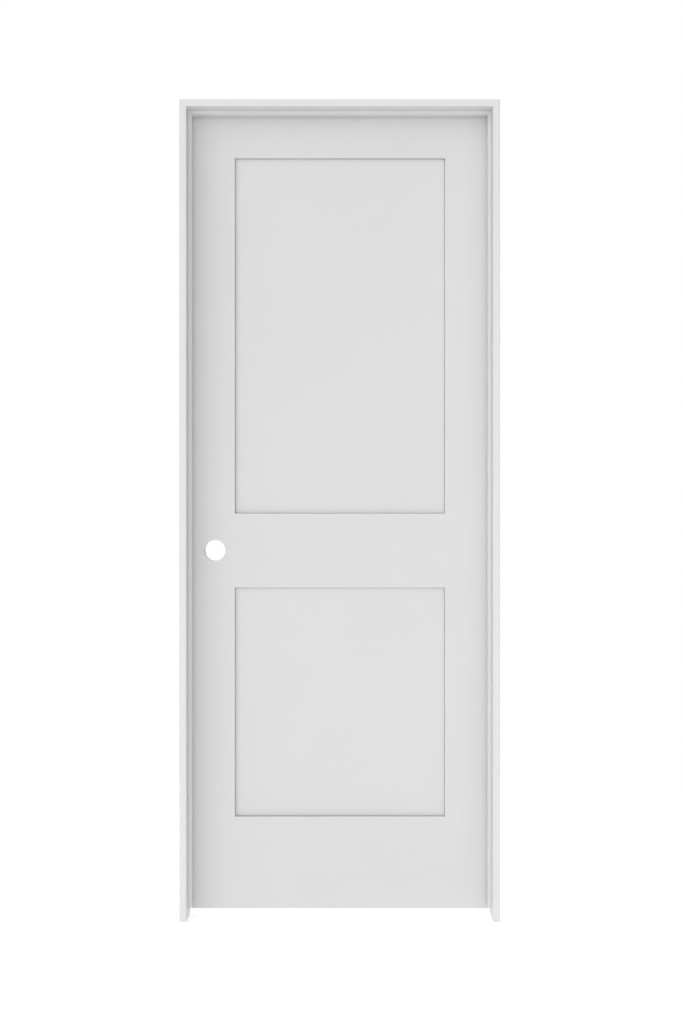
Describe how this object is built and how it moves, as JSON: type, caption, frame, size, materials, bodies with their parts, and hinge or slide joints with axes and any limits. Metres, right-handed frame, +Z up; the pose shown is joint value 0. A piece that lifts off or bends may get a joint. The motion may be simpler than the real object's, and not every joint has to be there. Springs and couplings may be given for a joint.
{
  "type": "interior door",
  "caption": "Prehung shaker interior door with flat recessed panels, hung on butt hinges in a flat jamb with stops and bored for a lockset.",
  "frame": {"origin": "outer face of the hinge-side jamb, at its foot on the floor line and in the middle of the jamb's depth", "axes": "+X out of the hinge jamb's outer face, to the right as the push side is seen; +Y through the doorway, from the push side to the side the door opens to; +Z up"},
  "size_m": [0.8074, 0.137, 2.0717],
  "materials": {
    "frame_paint": "primed wood, satin white",
    "door_paint": "primed wood and fibreboard, satin white",
    "hinge_metal": "satin nickel"
  },
  "bodies": {
    "frame": {"hinge_jamb": "frame_paint", "strike_jamb": "frame_paint", "head_jamb": "frame_paint", "hinge_stop": "frame_paint", "strike_stop": "frame_paint", "head_stop": "frame_paint", "lower_hinge_jamb_leaf": "hinge_metal", "middle_hinge_jamb_leaf": "hinge_metal", "upper_hinge_jamb_leaf": "hinge_metal", "lower_hinge_pin": "hinge_metal", "middle_hinge_pin": "hinge_metal", "upper_hinge_pin": "hinge_metal"},
    "door": {"hinge_stile": "door_paint", "strike_stile": "door_paint", "top_rail": "door_paint", "lock_rail": "door_paint", "bottom_rail": "door_paint", "upper_panel": "door_paint", "lower_panel": "door_paint", "lower_hinge_door_leaf": "hinge_metal", "middle_hinge_door_leaf": "hinge_metal", "upper_hinge_door_leaf": "hinge_metal"}
  },
  "joints": [
    {"name": "door_swing", "type": "hinge", "parent": "frame", "child": "door", "pos_m": [-0.0201, 0.0734, 1.035], "axis": [0, 0, -1], "range_deg": [0, 180]}
  ]
}
